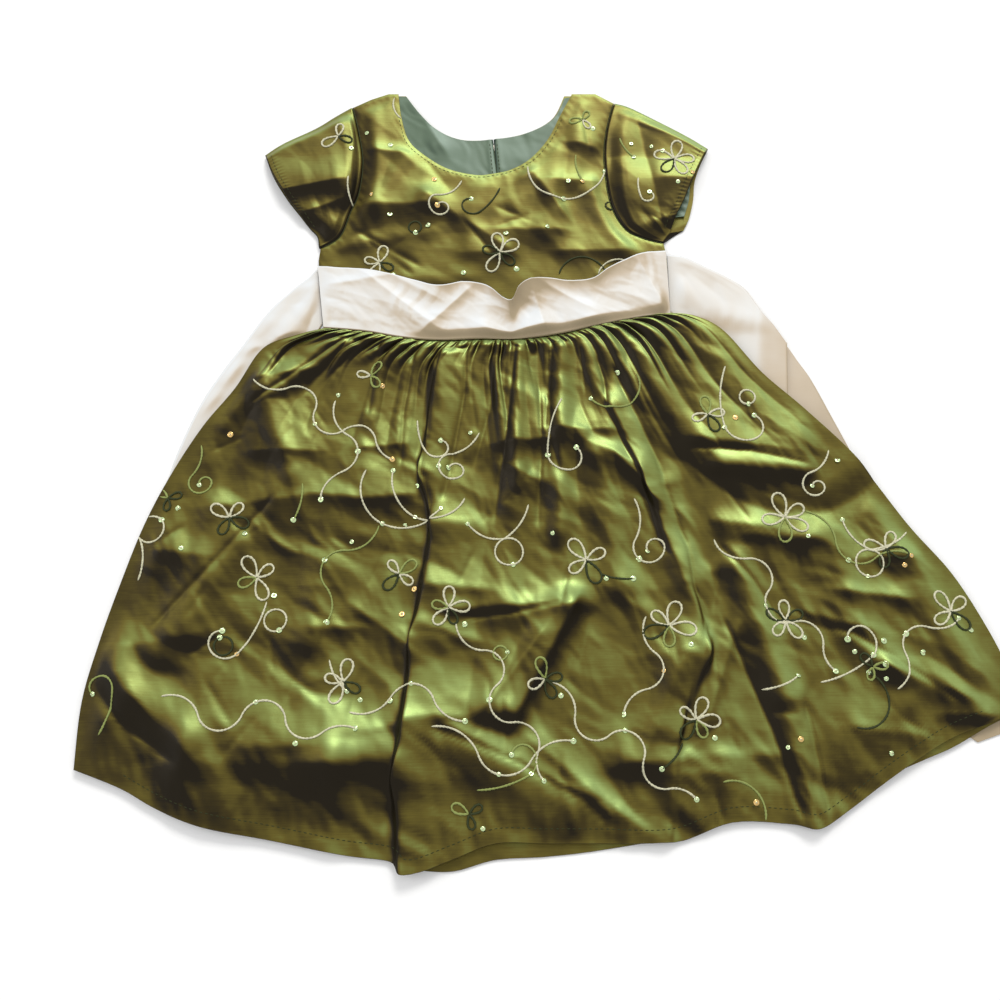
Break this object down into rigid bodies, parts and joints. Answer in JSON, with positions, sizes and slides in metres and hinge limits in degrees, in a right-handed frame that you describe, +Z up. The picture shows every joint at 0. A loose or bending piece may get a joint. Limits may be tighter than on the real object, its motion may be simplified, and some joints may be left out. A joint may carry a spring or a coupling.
{
  "type": "toddler's party dress with sash",
  "caption": "Toddler's short-sleeved party dress of embroidered shot taffeta with a gathered skirt and a satin sash, laid flat with its sash ties out",
  "frame": {"origin": "middle of the laid dress's box, on the surface that it rests on", "axes": "+X across the dress to the picture's right, +Y from the hem to the neck, +Z up from the surface"},
  "size_m": [0.623, 0.5958, 0.0161],
  "materials": {
    "taffeta": "green and brown shot taffeta with a metallic sheen, embroidered",
    "lining": "sea-green satin lining",
    "sash": "ivory satin",
    "zip_tape": "woven nylon zip strip",
    "zip_metal": "small satin metal slider"
  },
  "bodies": {
    "root": {"bodice_front": "taffeta", "bodice_back_left": "taffeta", "bodice_back_right": "taffeta", "back_lining_left": "lining", "back_lining_right": "lining", "sleeve_left": "taffeta", "sleeve_right": "taffeta", "sleeve_lining_right": "lining", "skirt_front": "taffeta", "skirt_back": "taffeta", "sash_front": "sash", "sash_tie_left": "sash", "sash_tie_right": "sash", "back_zip": "zip_tape", "zip_slider": "zip_metal"}
  },
  "joints": []
}
